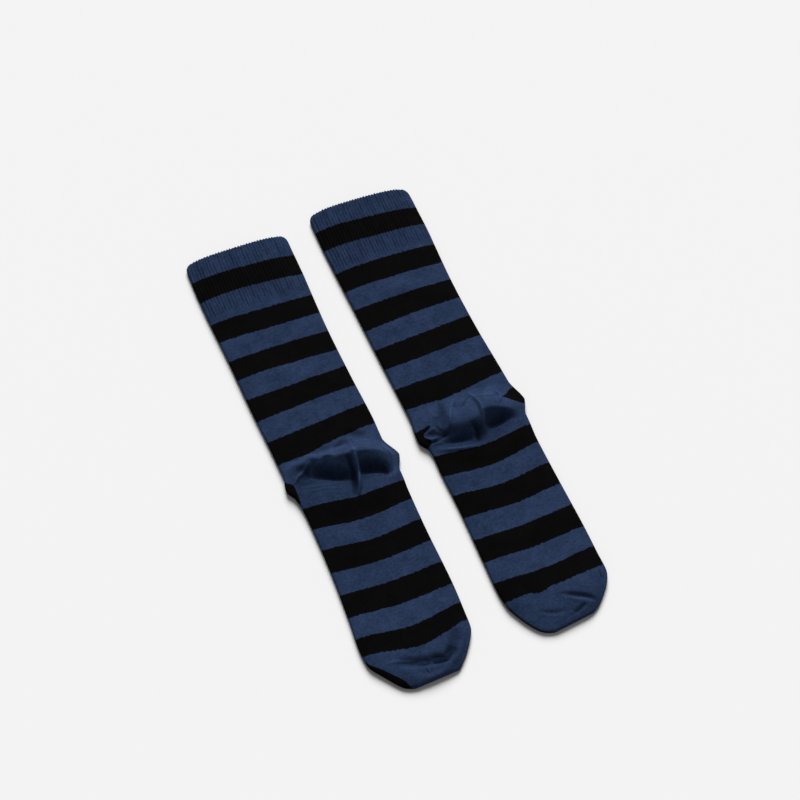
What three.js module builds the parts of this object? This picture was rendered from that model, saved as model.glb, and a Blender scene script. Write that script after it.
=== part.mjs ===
// A pair of knitted crew socks laid flat side by side, heel side up, with the toes towards -Y.
// Each sock is one knitted tube: a cloth wall with a hollow inside, open at the cuff and closed at the toe.
// Its front lies flat on the surface, and its back lies on top, with the heel pocket standing up as a soft dome.
// Millimetres, +Z up, the origin at the middle of the pair's box, on the surface that it lies on.

import * as THREE from "three";

// Driving sizes
const SOCK_LENGTH = 416; // from the cuff edge to the toe tip, leg and foot in one line
const WALL = 1.5; // the knitted cloth
const SPACING = 108; // between the middle lines of the two socks
const STAGGER = 6; // how far the right sock lies nearer to the cuff end

// Cuff ribs
const RIBS_ON_BACK = 23; // between the two side folds
const RIBS_ON_FOLD = 2; // round each side fold
const RIB_RISE = 0.45; // how far a rib stands above, and its groove lies below, the middle of the cloth
const RIB_EDGE = 1.5; // where the ribs start below the cuff edge
const RIB_FULL_END = 46; // where they begin to fade
const RIB_END = 57; // where they are gone
const POINTS_PER_RIB = 4;
const RIM_ROUNDING = 0.4; // how far the cuff edge is drawn in

// The flat tube's outline. at: distance from the cuff edge; left and right: from the middle line to that
// side's fold; thick: height of the side folds, which is the height of the flat tube there.
const LEFT_OUTLINE = [
  { at: 0, left: 39.8, right: 42.0, thick: 4.8 },
  { at: 12, left: 41.6, right: 43.2, thick: 4.8 },
  { at: 48, left: 43.2, right: 42.6, thick: 4.8 },
  { at: 100, left: 42.2, right: 40.8, thick: 4.8 },
  { at: 150, left: 42.0, right: 40.8, thick: 4.8 },
  { at: 190, left: 41.0, right: 41.4, thick: 5.2 },
  { at: 212, left: 40.6, right: 40.8, thick: 6.4 },
  { at: 230, left: 40.4, right: 41.4, thick: 7.6 },
  { at: 246, left: 38.0, right: 42.2, thick: 6.2 },
  { at: 262, left: 37.5, right: 42.2, thick: 5.0 },
  { at: 300, left: 38.2, right: 40.8, thick: 4.8 },
  { at: 345, left: 41.0, right: 40.6, thick: 5.0 },
  { at: 372, left: 44.8, right: 39.4, thick: 6.2 },
  { at: 386, left: 44.6, right: 37.4, thick: 6.6 },
  { at: 398, left: 39.0, right: 31.5, thick: 6.4 },
  { at: 408, left: 30.0, right: 24.0, thick: 5.8 },
  { at: 413, left: 23.6, right: 18.0, thick: 5.2 },
  { at: 416, left: 17.0, right: 12.0, thick: 4.4 },
];
const RIGHT_OUTLINE = [
  { at: 0, left: 40.6, right: 42.2, thick: 4.8 },
  { at: 12, left: 42.2, right: 43.2, thick: 4.8 },
  { at: 48, left: 42.6, right: 43.0, thick: 4.8 },
  { at: 100, left: 42.2, right: 40.4, thick: 4.8 },
  { at: 150, left: 42.0, right: 40.3, thick: 4.8 },
  { at: 190, left: 41.6, right: 42.0, thick: 5.2 },
  { at: 212, left: 41.6, right: 42.4, thick: 6.4 },
  { at: 230, left: 41.0, right: 42.6, thick: 7.6 },
  { at: 246, left: 38.4, right: 42.2, thick: 6.2 },
  { at: 262, left: 38.8, right: 41.0, thick: 5.0 },
  { at: 300, left: 38.9, right: 40.8, thick: 4.8 },
  { at: 345, left: 40.4, right: 41.2, thick: 5.0 },
  { at: 372, left: 41.2, right: 40.8, thick: 5.8 },
  { at: 386, left: 41.0, right: 40.0, thick: 6.2 },
  { at: 398, left: 37.0, right: 34.6, thick: 6.2 },
  { at: 408, left: 29.5, right: 26.5, thick: 5.8 },
  { at: 413, left: 23.8, right: 21.0, thick: 5.2 },
  { at: 416, left: 17.0, right: 14.0, thick: 4.4 },
];

// How much the toe's end slants, as a share of the distance from the middle line, from SLANT_START on.
const LEFT_SLANT = 0.05;
const RIGHT_SLANT = 0.18;
const SLANT_START = 394;

// The slight puff of the back, which lifts its middle above the side folds. at: distance from the cuff edge.
const PUFF = [
  { at: 0, rise: 1.4 },
  { at: 30, rise: 0.6 },
  { at: 120, rise: 0.5 },
  { at: 190, rise: 1.2 },
  { at: 256, rise: 1.2 },
  { at: 320, rise: 0.6 },
  { at: 372, rise: 1.4 },
  { at: 400, rise: 1.2 },
  { at: 416, rise: 0.3 },
];

// The heel pocket of each sock. crest: where the dome is highest on the middle line; bow: how much nearer to
// the toe the crest lies at the side folds; rise and fall: its reach to the leg and to the foot.
const LEFT_HEEL = { crest: 210, bow: 20, height: 7.6, rise: 22, fall: 25 };
const RIGHT_HEEL = { crest: 226, bow: 8, height: 7.8, rise: 27, fall: 19 };

// The corners of the heel, where the pocket's edge stands out past the side folds. side: -1 left, 1 right;
// out: how far it stands out; before and after: its reach to the cuff and to the toe.
const LEFT_EARS = [
  { side: -1, at: 226, out: 1.8, before: 16, after: 14 },
  { side: 1, at: 229, out: 6.2, before: 16, after: 26 },
];
const RIGHT_EARS = [
  { side: -1, at: 232, out: 3.0, before: 26, after: 11 },
  { side: 1, at: 223, out: 4.4, before: 22, after: 22 },
];

// The largest folds of the back. at and across: its middle; turn: degrees from the sock's length;
// long and wide: its half length and half width; rise: above the cloth, or below it where negative.
const LEFT_FOLDS = [
  { name: "heel ridge", at: 233, across: 10, turn: -16, long: 21, wide: 4.2, rise: 2.6 },
  { name: "left heel hollow", at: 228, across: -9, turn: 96, long: 19, wide: 9, rise: -2.8 },
  { name: "right heel hollow", at: 234, across: 26, turn: 70, long: 15, wide: 8, rise: -2.4 },
  { name: "ankle crease", at: 203, across: 22, turn: 78, long: 20, wide: 4.5, rise: 1.2 },
  { name: "toe trough", at: 400, across: 2, turn: 86, long: 20, wide: 5, rise: -1.6 },
  { name: "toe side trough", at: 390, across: 24, turn: 38, long: 15, wide: 4.6, rise: -1.4 },
  { name: "leg wave", at: 130, across: -10, turn: 62, long: 46, wide: 12, rise: 0.6 },
  { name: "foot wave", at: 312, across: 8, turn: 70, long: 40, wide: 11, rise: 0.6 },
];
const RIGHT_FOLDS = [
  { name: "heel ridge", at: 231, across: 8, turn: -8, long: 23, wide: 4, rise: 2.2 },
  { name: "left heel step", at: 224, across: -17, turn: 4, long: 15, wide: 4.6, rise: 1.8 },
  { name: "right heel hollow", at: 241, across: 20, turn: 72, long: 14, wide: 6.5, rise: -2.6 },
  { name: "left heel hollow", at: 243, across: -8, turn: 98, long: 17, wide: 6.5, rise: -2.4 },
  { name: "pinched corner", at: 236, across: -31, turn: 60, long: 10, wide: 4.4, rise: 2.2 },
  { name: "toe trough", at: 391, across: 16, turn: 84, long: 17, wide: 4.6, rise: -1.6 },
  { name: "toe tip trough", at: 404, across: -2, turn: 80, long: 16, wide: 4.4, rise: -1.3 },
  { name: "leg wave", at: 96, across: 12, turn: 66, long: 44, wide: 12, rise: 0.6 },
  { name: "foot wave", at: 330, across: -8, turn: 108, long: 40, wide: 11, rise: 0.6 },
];

const LEFT_SOCK = { outline: LEFT_OUTLINE, slant: LEFT_SLANT, heel: LEFT_HEEL, ears: LEFT_EARS, folds: LEFT_FOLDS };
const RIGHT_SOCK = {
  outline: RIGHT_OUTLINE,
  slant: RIGHT_SLANT,
  heel: RIGHT_HEEL,
  ears: RIGHT_EARS,
  folds: RIGHT_FOLDS,
};

// How finely each stretch of the sock is divided. from and to: distances from the cuff edge; rows: steps
// between them; back, fold and front: steps across the back, round a side fold and across the front.
const OUTER_STRETCHES = [
  { from: 58, to: 188, rows: 7, back: 14, fold: 4, front: 4 },
  { from: 193, to: 256, rows: 17, back: 30, fold: 4, front: 4 },
  { from: 264, to: 366, rows: 6, back: 14, fold: 4, front: 4 },
  { from: 374, to: 412, rows: 9, back: 20, fold: 4, front: 4 },
];
const INNER_STRETCHES = [
  { from: 0, to: 188, rows: 7, back: 10, fold: 3, front: 4 },
  { from: 195, to: 255, rows: 10, back: 18, fold: 3, front: 4 },
  { from: 264, to: 366, rows: 5, back: 10, fold: 3, front: 4 },
  { from: 376, to: 410, rows: 6, back: 12, fold: 3, front: 4 },
];
const RIB_ROWS = [RIB_EDGE, 16, 31, RIB_FULL_END, 52];
const RIB_STEPS = { back: RIBS_ON_BACK * POINTS_PER_RIB, fold: RIBS_ON_FOLD * POINTS_PER_RIB, front: 8 };

const clamp = THREE.MathUtils.clamp;

// The value of one column of a table at a distance from the cuff edge, on a smooth curve through its rows.
function along(table, column, at) {
  const last = table.length - 1;
  const place = clamp(at, table[0].at, table[last].at);
  let i = 0;
  while (i < last - 1 && table[i + 1].at < place) i++;
  const slope = (k) => {
    const before = table[Math.max(k - 1, 0)];
    const after = table[Math.min(k + 1, last)];
    return (after[column] - before[column]) / (after.at - before.at);
  };
  const start = table[i];
  const end = table[i + 1];
  const span = end.at - start.at;
  const t = (place - start.at) / span;
  return (
    start[column] * (1 + 2 * t) * (1 - t) ** 2 +
    slope(i) * span * t * (1 - t) ** 2 +
    end[column] * t ** 2 * (3 - 2 * t) +
    slope(i + 1) * span * t ** 2 * (t - 1)
  );
}

// A smooth bump: 1 where u is 0, and 0 from u = 1 on.
const bump = (u) => Math.cos((Math.PI / 2) * clamp(Math.abs(u), 0, 1)) ** 2;

// The half width of the tube on one side, with the heel's corner.
function halfWidth(sock, at, side) {
  const corners = sock.ears
    .filter((ear) => ear.side === side)
    .map((ear) => ear.out * bump((at - ear.at) / (at < ear.at ? ear.before : ear.after)));
  return along(sock.outline, side < 0 ? "left" : "right", at) + corners.reduce((sum, out) => sum + out, 0);
}

// How far the back stands above the side folds: its puff, the heel's dome and the folds, all 0 at the side folds.
function lift(sock, at, x, reach) {
  const v = clamp(x / reach, -1, 1);
  const { crest, bow, height, rise, fall } = sock.heel;
  const past = at - crest - bow * v ** 2;
  const dome = height * bump(past / (past < 0 ? rise : fall)) * Math.sqrt(1 - v ** 2);
  const folds = sock.folds.map((fold) => {
    const angle = THREE.MathUtils.degToRad(fold.turn);
    const down = at - fold.at;
    const aside = x - fold.across;
    const length = (down * Math.cos(angle) + aside * Math.sin(angle)) / fold.long;
    const width = (aside * Math.cos(angle) - down * Math.sin(angle)) / fold.wide;
    return fold.rise * bump(length) * bump(width);
  });
  const edge = 1 - v ** 6;
  return along(PUFF, "rise", at) * (1 - v ** 2) + dome + edge * folds.reduce((sum, rise) => sum + rise, 0);
}

// How much of a rib's height shows at a distance from the cuff edge.
const ribShare = (at) => 1 - THREE.MathUtils.smoothstep(at, RIB_FULL_END, RIB_END);

// One ring of the tube as four runs of points that meet: the front from left to right, the right fold upwards,
// the back from right to left, and the left fold downwards. inset is 0 for the outer face and WALL for the inner.
function ring(sock, at, steps, inset, rib = 0) {
  const radius = along(sock.outline, "thick", at) / 2;
  const right = halfWidth(sock, at, 1) - radius;
  const left = -halfWidth(sock, at, -1) + radius;
  const middle = (left + right) / 2;
  const reach = (right - left) / 2;
  const slant = sock.slant * THREE.MathUtils.smoothstep(at, SLANT_START, SOCK_LENGTH);
  const laid = (x, z) => [x, slant * x - at, z];
  const run = (count, point) => Array.from({ length: count + 1 }, (_, i) => point(i / count));
  const ribWave = (turns, t) => rib * Math.cos(2 * Math.PI * turns * t);
  const foldPoint = (centre, side, t) => {
    const angle = Math.PI * (t - side / 2);
    const up = (1 + Math.sin(angle)) / 2;
    const r = radius - inset + ribWave(RIBS_ON_FOLD, t) * up;
    return laid(centre + r * Math.cos(angle), radius + r * Math.sin(angle));
  };
  return [
    run(steps.front, (t) => laid(left + (right - left) * t, inset)),
    run(steps.fold, (t) => foldPoint(right, 1, t)),
    run(steps.back, (t) => {
      const x = right + (left - right) * t;
      const top = 2 * radius + lift(sock, at, x - middle, reach);
      return laid(x, top - inset + ribWave(RIBS_ON_BACK, t));
    }),
    run(steps.fold, (t) => foldPoint(left, -1, t)),
  ];
}

// The places of the rings in a stretch.
const rowsOf = ({ from, to, rows }) => Array.from({ length: rows + 1 }, (_, i) => from + ((to - from) * i) / rows);

// Joins two runs of points, which may have different counts, with a strip of triangles.
function strip(triangles, a, b) {
  let i = 0;
  let j = 0;
  while (i < a.length - 1 || j < b.length - 1) {
    const nextA = (i + 1) / (a.length - 1);
    const nextB = (j + 1) / (b.length - 1);
    if (j === b.length - 1 || (i < a.length - 1 && nextA <= nextB)) {
      triangles.push(a[i], a[i + 1], b[j]);
      i++;
    } else {
      triangles.push(a[i], b[j + 1], b[j]);
      j++;
    }
  }
}

// Joins each run of one ring to the same run of the next.
const band = (triangles, a, b) => a.forEach((points, k) => strip(triangles, points, b[k]));

// Closes the toe end of a tube: the front of its last ring is joined to the back, and each fold is filled in.
function cap(triangles, [front, rightFold, back, leftFold], turned) {
  const faces = [];
  const backLeftToRight = [...back].reverse();
  strip(faces, front, backLeftToRight);
  for (let i = 1; i < rightFold.length - 1; i++) faces.push(rightFold[0], rightFold[i], rightFold[i + 1]);
  for (let i = 1; i < leftFold.length - 1; i++) faces.push(leftFold[0], leftFold[i], leftFold[i + 1]);
  for (let i = 0; i < faces.length; i += 3) {
    const [p, q, r] = faces.slice(i, i + 3);
    triangles.push(p, ...(turned ? [r, q] : [q, r]));
  }
}

// The knitted wall of one sock: the outer face, the inner face turned round, the cuff's rim and the closed toe.
function sockGeometry(sock) {
  const rim = ring(sock, 0, RIB_STEPS, RIM_ROUNDING);
  const ribbed = RIB_ROWS.map((at) => ring(sock, at, RIB_STEPS, 0, RIB_RISE * ribShare(at)));
  const plain = OUTER_STRETCHES.flatMap((stretch) => rowsOf(stretch).map((at) => ring(sock, at, stretch, 0)));
  const toeEnd = ring(sock, SOCK_LENGTH, OUTER_STRETCHES.at(-1), RIM_ROUNDING);
  const outer = [rim, ...ribbed, ...plain, toeEnd];
  const inner = INNER_STRETCHES.flatMap((stretch) => rowsOf(stretch).map((at) => ring(sock, at, stretch, WALL)));

  const triangles = [];
  for (let i = 0; i < outer.length - 1; i++) band(triangles, outer[i], outer[i + 1]);
  for (let i = 0; i < inner.length - 1; i++) band(triangles, inner[i + 1], inner[i]);
  band(triangles, inner[0], outer[0]);
  cap(triangles, toeEnd, false);
  cap(triangles, inner.at(-1), true);

  const geometry = new THREE.BufferGeometry();
  geometry.setAttribute("position", new THREE.Float32BufferAttribute(triangles.flat(), 3));
  geometry.computeVertexNormals();
  return geometry;
}

// The blue of the heel, the toe and the lighter stripes; the dark stripes are a matter of finish.
const knit = () => new THREE.MeshStandardMaterial({ color: 0x2c3f6e, roughness: 0.95, metalness: 0 });

// One sock as a named mesh, laid at its place in the pair. side is -1 for the left sock and 1 for the right.
function laidSock(name, side, shape) {
  const mesh = new THREE.Mesh(sockGeometry(shape), knit());
  mesh.name = name;
  mesh.position.set((side * SPACING) / 2, (side * STAGGER) / 2, 0);
  return mesh;
}

const pair = new THREE.Group();
pair.add(laidSock("left_sock", -1, LEFT_SOCK));
pair.add(laidSock("right_sock", 1, RIGHT_SOCK));

// Brings the middle of the pair's box to the origin, on the surface.
const middle = new THREE.Box3().setFromObject(pair, true).getCenter(new THREE.Vector3());
pair.position.set(-middle.x, -middle.y, 0);
pair.updateMatrixWorld(true);

export default pair;
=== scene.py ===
"""A pair of knitted crew socks, laid flat side by side with their heels up, on a plain pale surface."""

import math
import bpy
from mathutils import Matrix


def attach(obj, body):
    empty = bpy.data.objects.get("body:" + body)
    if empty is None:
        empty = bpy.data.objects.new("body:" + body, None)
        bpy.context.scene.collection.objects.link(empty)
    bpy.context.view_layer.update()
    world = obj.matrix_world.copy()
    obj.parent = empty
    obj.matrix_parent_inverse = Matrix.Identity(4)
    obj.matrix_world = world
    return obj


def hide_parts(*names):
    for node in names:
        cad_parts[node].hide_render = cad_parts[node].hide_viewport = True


bl_info = {
    "name": "Pair of crew socks",
    "version": (1, 0, 0),
    "blender": (4, 5, 0),
    "location": "3D View > Sidebar > Socks",
    "description": "Adds a pair of striped, knitted crew socks laid flat, and a plain stage for them",
    "category": "Add Mesh",
}

import bpy
import numpy as np

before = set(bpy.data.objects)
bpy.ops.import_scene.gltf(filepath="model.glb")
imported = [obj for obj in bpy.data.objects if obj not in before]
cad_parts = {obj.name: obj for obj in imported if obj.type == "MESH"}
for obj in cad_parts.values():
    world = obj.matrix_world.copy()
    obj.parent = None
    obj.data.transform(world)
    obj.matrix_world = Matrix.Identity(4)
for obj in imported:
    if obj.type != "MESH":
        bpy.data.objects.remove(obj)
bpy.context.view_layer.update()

MM = 0.001


def table(columns, *rows):
    """Rows of numbers as dictionaries, keyed by the names of the columns."""
    return [dict(zip(columns.split(), row)) for row in rows]


def fold_row(rise, left, right, *path):
    """One fold or crease. rise: above the cloth, or below it where negative; left and right: how far it
    reaches to each side of its path, seen along it; path: points (distance from the cuff edge, distance
    from the middle line)."""
    return {"rise": rise, "left": left, "right": right, "path": path}


# All distances in the tables are in millimetres.

# The flat tube's outline. at: distance from the cuff edge; left and right: from the middle line to that
# side's fold; thick: height of the side folds.
LEFT_OUTLINE = table(
    "at left right thick",
    (1, 37.6, 40.6, 4.0),
    (4, 40.4, 42.6, 4.0),
    (9, 41.6, 43.2, 4.0),
    (48, 42.5, 42.6, 4.0),
    (100, 41.5, 40.8, 4.0),
    (150, 41.3, 41.0, 4.0),
    (190, 40.4, 41.9, 4.2),
    (212, 40.2, 41.2, 4.6),
    (230, 39.8, 41.6, 5.0),
    (246, 37.3, 42.8, 4.6),
    (262, 36.8, 41.8, 4.2),
    (300, 37.5, 40.8, 4.0),
    (345, 40.2, 40.8, 4.0),
    (372, 42.6, 39.4, 4.2),
    (386, 41.8, 38.2, 4.2),
    (392, 38.8, 35.4, 4.1),
    (400, 33.0, 30.2, 3.8),
    (407, 27.6, 24.8, 3.5),
    (411, 23.4, 21.0, 3.1),
    (414, 17.0, 18.0, 2.6),
)
RIGHT_OUTLINE = table(
    "at left right thick",
    (-1, 37.2, 41.0, 4.0),
    (2, 39.8, 43.0, 4.0),
    (7, 41.2, 43.6, 4.0),
    (48, 42.0, 43.0, 4.0),
    (100, 41.6, 40.6, 4.0),
    (150, 41.4, 40.5, 4.0),
    (190, 41.0, 42.0, 4.2),
    (212, 41.0, 42.6, 4.6),
    (230, 40.4, 42.6, 5.2),
    (246, 37.8, 42.2, 4.6),
    (262, 38.2, 41.0, 4.2),
    (300, 38.3, 40.8, 4.0),
    (345, 39.8, 41.0, 4.0),
    (372, 40.6, 40.4, 4.2),
    (386, 39.4, 40.2, 4.2),
    (392, 37.4, 38.2, 4.1),
    (400, 33.4, 33.4, 3.8),
    (408, 27.4, 27.6, 3.5),
    (412.5, 22.6, 23.2, 3.1),
    (416, 15.5, 17.5, 2.6),
)

# The slight puff of the back, which lifts its middle above the side folds.
LEFT_PUFF = table(
    "at rise",
    (0, 4.0),
    (22, 3.2),
    (62, 1.5),
    (120, 0.7),
    (190, 1.2),
    (246, 2.0),
    (262, 1.4),
    (320, 0.7),
    (372, 1.8),
    (398, 2.6),
    (416, 0.7),
)
RIGHT_PUFF = table(
    "at rise",
    (0, 5.0),
    (22, 4.0),
    (62, 2.0),
    (120, 0.8),
    (190, 1.2),
    (256, 1.2),
    (320, 0.7),
    (372, 1.8),
    (398, 2.6),
    (416, 0.7),
)

# The corners of the heel. side: -1 left, 1 right; out: how far it stands out past the side fold; before and
# after: its reach toward the cuff and toward the toe.
LEFT_EARS = table(
    "side at out before after",
    (-1, 229, 2.8, 14, 7),
    (1, 229.5, 6.2, 17, 14),
)
RIGHT_EARS = table(
    "side at out before after",
    (-1, 233, 3.0, 24, 8),
    (1, 226, 4.6, 19, 13),
)

# The heel pocket, from one side fold to the other. across: distance from the middle line; start: where the
# cloth begins to rise; crest: where it is highest; foot: where it lies flat again; rise: its height;
# round: 0 for a sharp crest, 1 for a round one.
LEFT_POCKET = table(
    "across start crest foot rise round",
    (-44, 208, 216, 229, 0.0, 0.6),
    (-34, 207, 217, 231, 3.6, 0.5),
    (-26, 206, 216, 231, 6.2, 0.4),
    (-18, 205, 215, 230, 8.6, 0.1),
    (-10, 206, 218.5, 233, 9.8, 0.0),
    (-2, 207, 221, 236, 10.2, 0.0),
    (6, 207, 222, 238.5, 10.6, 0.0),
    (14, 207, 223, 238, 10.8, 0.0),
    (24, 208, 225, 239.5, 10.0, 0.0),
    (34, 209, 227.5, 243, 7.4, 0.1),
    (42, 210, 229, 245, 2.4, 0.5),
    (48, 210, 230, 247, 0.0, 0.6),
)
RIGHT_POCKET = table(
    "across start crest foot rise round",
    (-44, 208, 226, 241, 0.0, 0.6),
    (-34, 207, 229, 243, 1.6, 0.5),
    (-27, 206, 231, 245, 3.4, 0.4),
    (-20, 206, 231, 245, 5.0, 0.8),
    (-14, 205, 232, 246, 7.1, 1.0),
    (-4, 204, 233.5, 249, 8.3, 1.0),
    (5, 204, 234, 248.5, 9.8, 0.8),
    (12, 204, 230.5, 242, 10.2, 0.0),
    (20, 205, 231, 242, 9.0, 0.0),
    (30, 206, 233.5, 241, 5.8, 0.1),
    (38, 207, 235, 241, 2.4, 0.4),
    (46, 208, 235, 241, 0.0, 0.6),
)

# The folds and creases of the back, placed one by one.
LEFT_FOLDS = {
    "heel ridge": fold_row(4.4, 2.6, 2.4, (219, 14.5), (228, 13), (237, 12), (245, 9.5), (253, 5.5)),
    "ridge line": fold_row(0.9, 1.6, 1.8, (203, 16), (212, 15.5), (220, 14.5)),
    "ridge trough": fold_row(-3.2, 3.6, 3.2, (225, 8.6), (236, 8), (246, 6), (254, 2.6)),
    "left hollow": fold_row(-2.4, 3.0, 9.0, (226, -22), (230, -13), (234.5, -4), (238, 4)),
    "right hollow": fold_row(-3.2, 3.0, 9.0, (236.5, 15), (238.5, 24), (242.5, 33)),
    "right hollow corner": fold_row(-1.6, 3.0, 3.2, (238, 30), (245, 32)),
    "stitched patch": fold_row(1.8, 1.6, 1.8, (217, -9), (219, -2)),
    "side hollow": fold_row(-2.0, 6.0, 5.0, (216, -32), (221, -25), (226, -26)),
    "ankle hollow": fold_row(-1.1, 6.5, 5.0, (200, 18), (205, 30)),
    "ankle brow": fold_row(0.8, 2.0, 2.4, (209, 18), (211, 30)),
    "ankle trough": fold_row(-0.9, 3.0, 3.5, (209, 4), (206, 12)),
    "leg shade": fold_row(-0.8, 3.4, 3.4, (204, -34), (209, -22), (213, -14)),
    "up-slope shade": fold_row(-1.0, 3.0, 3.6, (207, -11), (213, -11.5), (219, -12.5)),
    "gore ridge": fold_row(1.3, 2.2, 2.2, (227, -37), (223, -30), (217, -19)),
    "right rim": fold_row(2.6, 2.9, 3.2, (219, 37), (230, 42), (240, 40.5), (249, 36)),
    "upper sole wrinkle": fold_row(0.5, 1.2, 2.0, (232, -31), (236, -18), (239, -5)),
    "sole wrinkle": fold_row(0.45, 1.2, 2.2, (237, -29), (240, -14), (245, -2)),
    "lower sole wrinkle": fold_row(0.3, 1.2, 2.2, (242, -24), (244, -12), (248, -4)),
    "toe rim": fold_row(2.8, 9.0, 9.0, (378, 36), (388, 33.5), (398, 27.5), (407, 21.5)),
    "toe hollow": fold_row(-2.4, 5.0, 6.0, (402, 4), (403, 12), (399, 19)),
    "toe trough": fold_row(-2.1, 5.0, 6.5, (395, -19), (400, -6), (402, 6)),
    "toe shade": fold_row(-2.0, 7.0, 6.0, (386, 26), (393, 23), (400, 17)),
    "toe brow": fold_row(0.9, 4.0, 4.0, (408, -14), (412, -4), (411.5, 8), (407, 19)),
    "toe crease": fold_row(0.7, 1.2, 1.3, (391, -30), (393, -22), (396, -11)),
    "toe tuck": fold_row(0.6, 1.0, 1.0, (403, -5), (409, -3)),
    "leg wave": fold_row(0.5, 12, 12, (118, -34), (128, -8), (146, 22)),
    "upper leg wave": fold_row(0.35, 9, 11, (70, 34), (84, 6), (90, -26)),
    "foot wave": fold_row(0.5, 11, 11, (300, -24), (312, 6), (318, 34)),
    "instep trough": fold_row(-0.5, 7, 8, (262, -26), (268, 0), (264, 28)),
}
RIGHT_FOLDS = {
    "heel ridge": fold_row(2.6, 2.8, 1.6, (207, 9), (216, 10), (226, 10), (234, 8.6), (243, 5)),
    "crest crease": fold_row(1.1, 1.4, 1.5, (213, 11), (217, 18), (218, 26)),
    "crest corner": fold_row(1.8, 1.6, 1.6, (214, 28.5), (221, 28.5), (227, 25.5)),
    "crest trough": fold_row(-1.5, 1.8, 2.0, (220, -3), (216, 2), (211, 6.5)),
    "panel edge": fold_row(2.2, 2.0, 2.6, (209, -5), (220, -12), (233, -18)),
    "left shade": fold_row(-2.3, 4.0, 5.0, (210, -15.5), (219, -18.5), (232, -23)),
    "lower left shade": fold_row(-1.5, 5.0, 5.0, (221, -24), (229, -28)),
    "side shade": fold_row(-2.2, 5.0, 5.0, (228, -37), (233, -29), (238, -20)),
    "right hollow": fold_row(-2.2, 2.6, 7.0, (241, 10), (241.5, 17), (239, 30)),
    "foot trough": fold_row(-2.3, 3.0, 3.4, (238, -1), (243, 0), (249, -1)),
    "lower step": fold_row(-1.8, 2.4, 4.0, (240, -35), (243, -20), (246, -6)),
    "lower lip": fold_row(1.4, 2.4, 2.4, (245, -34), (250, -19), (253, -4)),
    "upper pinch": fold_row(0.9, 1.6, 2.0, (227, -39), (229, -34), (228, -28)),
    "middle pinch": fold_row(1.5, 1.3, 1.7, (233, -39), (236, -33), (235, -29)),
    "lower pinch": fold_row(1.3, 1.3, 1.7, (239, -37), (240, -31), (242, -25)),
    "upper tuck": fold_row(-0.9, 1.8, 2.2, (228, -27), (232, -25)),
    "lower tuck": fold_row(-1.5, 1.4, 2.0, (237, -37), (238, -29), (236, -21)),
    "toe trough": fold_row(-1.7, 2.4, 3.4, (394, 1), (398, 9), (403, 17), (409, 23)),
    "toe trough lip": fold_row(0.4, 2.4, 2.0, (399, 4), (404, 12), (409, 18)),
    "toe dent": fold_row(-1.3, 2.2, 2.6, (411, 4), (408.5, 13)),
    "toe tip trough": fold_row(-0.8, 2.0, 2.8, (400, -20), (404, -12), (407, -2)),
    "toe corner dent": fold_row(-1.5, 1.8, 1.8, (386, 34.5), (393, 33.5)),
    "toe rim": fold_row(1.2, 2.6, 4.0, (392, 37), (401, 32), (409, 26)),
    "leg wave": fold_row(0.45, 12, 12, (84, -30), (96, 4), (110, 32)),
    "lower leg wave": fold_row(0.4, 10, 12, (150, 34), (160, 4), (164, -28)),
    "foot wave": fold_row(0.5, 11, 11, (330, 28), (338, -4), (328, -32)),
    "instep trough": fold_row(-0.5, 7, 8, (264, -24), (270, 4), (266, 30)),
}

# Shallow creases of the front, where it bends at the ankle. They lift it off what it lies on.
FRONT_FOLDS = {
    "upper instep crease": fold_row(0.7, 3.5, 4.5, (214, -30), (219, -4), (216, 26)),
    "instep crease": fold_row(0.9, 4.0, 5.0, (229, -33), (233, 2), (228, 31)),
    "lower instep crease": fold_row(0.6, 3.5, 4.0, (243, -26), (246, 4), (244, 24)),
    "leg crease": fold_row(0.35, 7.0, 8.0, (120, -26), (132, 4), (128, 28)),
    "foot crease": fold_row(0.35, 7.0, 8.0, (318, -24), (326, 4), (322, 28)),
}

# The lines where the pocket's two halves are knitted together, with a small hole at every other stitch.
LEFT_GORES = table(
    "start end holes",
    ((228, -38), (219, -15), 12),
    ((222, -37), (212, -18), 10),
    ((234, 44), (226, 36), 5),
)
RIGHT_GORES = table(
    "start end holes",
    ((226, -35), (213, -20), 8),
    ((232, 44), (222, 33), 7),
)

# Where the colours change, blue first, then black, and so on: how far each change lies from the cuff edge
# on the middle line, and SIDE_PLACE to its left and right. HEEL_STRIPE is the one that the pocket hides.
LEFT_CHANGES = table(
    "left middle right",
    (20.6, 21.6, 23.1),
    (40.7, 41.0, 43.5),
    (64.0, 65.0, 66.2),
    (82.4, 84.2, 84.8),
    (102.0, 102.3, 103.4),
    (121.0, 121.4, 123.0),
    (140.8, 141.0, 140.0),
    (162.2, 160.5, 159.6),
    (182.7, 181.1, 178.5),
    (205.0, 201.8, 198.3),
    (221.0, 218.0, 215.0),
    (241.0, 239.0, 238.0),
    (248.8, 253.5, 253.4),
    (268.5, 273.3, 271.2),
    (287.2, 291.3, 289.6),
    (307.8, 311.1, 309.2),
    (327.2, 329.6, 328.7),
    (346.9, 350.2, 348.8),
    (365.5, 369.8, 365.8),
    (380.9, 387.0, 381.0),
)
RIGHT_CHANGES = table(
    "left middle right",
    (17.9, 19.4, 21.0),
    (37.3, 38.7, 40.0),
    (60.8, 61.0, 62.7),
    (80.5, 81.0, 82.0),
    (99.5, 99.6, 100.0),
    (121.4, 119.6, 119.3),
    (141.2, 140.1, 138.5),
    (161.4, 161.0, 159.3),
    (181.6, 181.7, 179.6),
    (202.7, 203.2, 198.9),
    (223.5, 219.0, 214.5),
    (243.0, 240.0, 238.0),
    (250.0, 253.9, 250.8),
    (269.1, 272.4, 267.8),
    (286.8, 290.1, 287.3),
    (307.6, 309.8, 307.4),
    (327.6, 328.9, 326.9),
    (347.8, 349.1, 347.4),
    (366.8, 368.7, 365.9),
    (383.6, 384.4, 382.6),
)
HEEL_STRIPE = 11

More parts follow.
